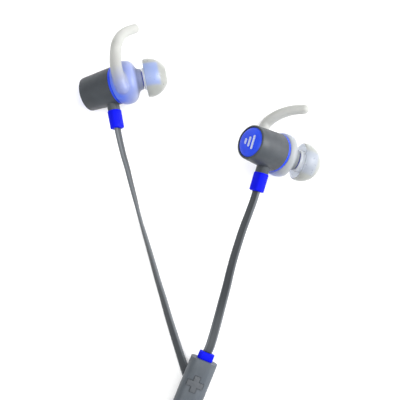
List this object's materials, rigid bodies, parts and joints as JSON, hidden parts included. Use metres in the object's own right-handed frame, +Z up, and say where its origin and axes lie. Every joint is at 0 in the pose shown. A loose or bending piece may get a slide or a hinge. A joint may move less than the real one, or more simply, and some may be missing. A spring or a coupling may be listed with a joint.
{
  "type": "neckband earphones",
  "caption": "Wireless in-ear sport earphones on a flat neck cable, with barrel earbuds, silicone tips and ear hooks, and an inline control and battery remote.",
  "frame": {"origin": "middle of the footprint, on the surface the earphones lie on (free cable left out)", "axes": "+Z up from the surface, +Y from the remote towards the earbuds, +X to the side of the right earbud"},
  "size_m": [0.085, 0.1858, 0.0288],
  "materials": {
    "housing_grey": "soft-touch matt",
    "remote_grey": "soft-touch matt",
    "accent_blue": "smooth gloss",
    "relief_blue": "satin",
    "emblem_silver": "printed silver",
    "steel_mesh": "fine woven mesh",
    "silicone_hook": "translucent, satin",
    "silicone_tip": "translucent, satin",
    "driver_frame": "moulded",
    "driver_iron": "zinc plated",
    "magnet": "nickel plated",
    "cone_film": "thin polymer film",
    "button_rubber": "matt",
    "board_green": "solder mask",
    "metal_parts": "plain",
    "battery_foil": "foil pouch",
    "light_pipe": "clear",
    "microphone": "plain",
    "cable_grey": "matt",
    "tie_black": "matt"
  },
  "bodies": {
    "frame": {"left_barrel": "housing_grey", "left_cap": "accent_blue", "left_emblem": "emblem_silver", "left_front_housing": "accent_blue", "left_nozzle_mesh": "steel_mesh", "left_strain_relief": "relief_blue", "left_cable_clamp": "steel_mesh", "left_driver_frame": "driver_frame", "left_driver_yoke": "driver_iron", "left_driver_magnet": "magnet", "left_pole_plate": "driver_iron", "right_barrel": "housing_grey", "right_cap": "accent_blue", "right_emblem": "emblem_silver", "right_front_housing": "accent_blue", "right_nozzle_mesh": "steel_mesh", "right_strain_relief": "relief_blue", "right_cable_clamp": "steel_mesh", "right_driver_frame": "driver_frame", "right_driver_yoke": "driver_iron", "right_driver_magnet": "magnet", "right_pole_plate": "driver_iron", "remote_upper_shell": "remote_grey", "remote_lower_shell": "remote_grey", "circuit_board": "board_green", "button_switches": "metal_parts", "wireless_module": "metal_parts", "battery": "battery_foil", "usb_socket": "metal_parts", "status_light": "light_pipe", "microphone": "microphone", "top_collar": "relief_blue", "bottom_collar": "relief_blue", "right_cord": "cable_grey", "left_cord": "cable_grey", "cord_coil": "cable_grey", "return_cord": "cable_grey", "cable_tie": "tie_black", "left_ear_hook": "silicone_hook", "right_ear_hook": "silicone_hook"},
    "plus_key": {"plus_button": "button_rubber"},
    "power_key": {"power_button": "button_rubber"},
    "minus_key": {"minus_button": "button_rubber"},
    "usb_flap": {"usb_cover": "button_rubber"},
    "left_tip": {"left_ear_tip": "silicone_tip"},
    "left_cone": {"left_diaphragm": "cone_film"},
    "right_tip": {"right_ear_tip": "silicone_tip"},
    "right_cone": {"right_diaphragm": "cone_film"}
  },
  "joints": [
    {"name": "plus_button_press", "type": "slide", "parent": "frame", "child": "plus_key", "axis": [0.0163, 0.0404, -0.999], "range_m": [0, 0.00035], "stiffness_N_per_m": 800},
    {"name": "power_button_press", "type": "slide", "parent": "frame", "child": "power_key", "axis": [0.0163, 0.0404, -0.999], "range_m": [0, 0.00035], "stiffness_N_per_m": 800},
    {"name": "minus_button_press", "type": "slide", "parent": "frame", "child": "minus_key", "axis": [0.0163, 0.0404, -0.999], "range_m": [0, 0.00035], "stiffness_N_per_m": 800},
    {"name": "usb_cover_hinge", "type": "hinge", "parent": "frame", "child": "usb_flap", "pos_m": [-0.02038, -0.07234, 0.00414], "axis": [-0.0163, -0.0404, 0.999], "range_deg": [0, 100]},
    {"name": "left_tip_pull_off", "type": "slide", "parent": "frame", "child": "left_tip", "axis": [0.982, 0.1887, -0.0131], "range_m": [0, 0.0028]},
    {"name": "left_diaphragm_stroke", "type": "slide", "parent": "frame", "child": "left_cone", "axis": [0.8844, 0.2287, 0.4067], "range_m": [-0.00015, 0.00015], "stiffness_N_per_m": 150},
    {"name": "right_tip_pull_off", "type": "slide", "parent": "frame", "child": "right_tip", "axis": [0.9108, -0.29, -0.2937], "range_m": [0, 0.0028]},
    {"name": "right_diaphragm_stroke", "type": "slide", "parent": "frame", "child": "right_cone", "axis": [0.6983, -0.2542, -0.6691], "range_m": [-0.00015, 0.00015], "stiffness_N_per_m": 150}
  ]
}
